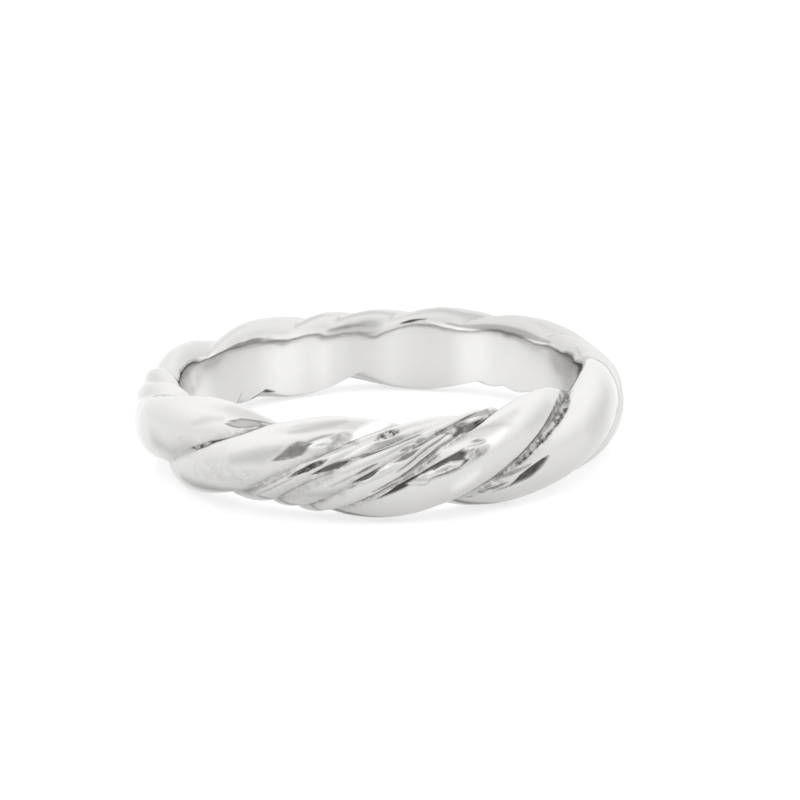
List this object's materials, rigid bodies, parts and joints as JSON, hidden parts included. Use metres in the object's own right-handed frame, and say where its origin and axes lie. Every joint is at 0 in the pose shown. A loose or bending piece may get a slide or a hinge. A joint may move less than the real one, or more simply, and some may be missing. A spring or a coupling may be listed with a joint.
{
  "type": "rope twist ring",
  "caption": "Finger ring cast as a laid rope of thick and fine strands, with a smooth round finger hole and wavy rims.",
  "frame": {"origin": "On the axis of the finger hole, in the plane that the ring lies on.", "axes": "+Z is the axis of the finger hole and points up as the ring lies on its side, -Y is the front as pictured, +X is to the right of the front."},
  "size_m": [0.0213, 0.0214, 0.0043],
  "materials": {
    "silver": "polished"
  },
  "bodies": {
    "root": {"twist_band": "silver"}
  },
  "joints": []
}
